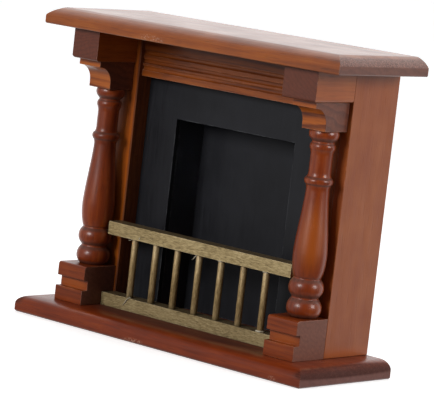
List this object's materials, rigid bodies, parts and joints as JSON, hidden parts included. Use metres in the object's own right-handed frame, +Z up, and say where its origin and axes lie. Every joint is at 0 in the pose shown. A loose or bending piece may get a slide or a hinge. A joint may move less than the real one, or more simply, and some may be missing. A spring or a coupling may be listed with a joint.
{
  "type": "dolls house fireplace",
  "caption": "Miniature mantelpiece with a moulded shelf, turned columns on grooved plinths, a black firebox recess and a balustrade fender.",
  "frame": {"origin": "under the centre of the hearth base, on the surface it stands on", "axes": "+Z up, the front faces -Y, +X towards the right-hand column"},
  "size_m": [0.131, 0.047, 0.1067],
  "materials": {
    "stained_board": "semi-gloss red-brown stain",
    "panel_wood": "satin red-brown stain",
    "face_board": "satin red-brown stain",
    "frieze_wood": "satin stain with open grain",
    "end_grain_block": "matt stained end grain",
    "corbel_wood": "satin orange-brown stain",
    "turned_wood": "gloss red-brown stain",
    "plinth_wood": "satin orange-brown stain",
    "black_paint": "satin black paint on wood",
    "gilt_wood": "gold bronze paint on wood"
  },
  "bodies": {
    "root": {"hearth_base": "stained_board", "mantel_shelf": "stained_board", "left_side_panel": "panel_wood", "right_side_panel": "panel_wood", "left_pilaster_board": "face_board", "right_pilaster_board": "face_board", "frieze_rail": "frieze_wood", "left_head_block": "end_grain_block", "right_head_block": "end_grain_block", "left_corbel": "corbel_wood", "right_corbel": "corbel_wood", "left_column": "turned_wood", "right_column": "turned_wood", "left_plinth_block": "plinth_wood", "right_plinth_block": "plinth_wood", "firebox_surround": "black_paint", "firebox_left_cheek": "black_paint", "firebox_right_cheek": "black_paint", "firebox_top": "black_paint", "firebox_back": "black_paint", "fender_top_rail": "gilt_wood", "fender_bottom_rail": "gilt_wood", "fender_baluster_1": "gilt_wood", "fender_baluster_2": "gilt_wood", "fender_baluster_3": "gilt_wood", "fender_baluster_4": "gilt_wood", "fender_baluster_5": "gilt_wood", "fender_baluster_6": "gilt_wood", "fender_baluster_7": "gilt_wood"}
  },
  "joints": []
}
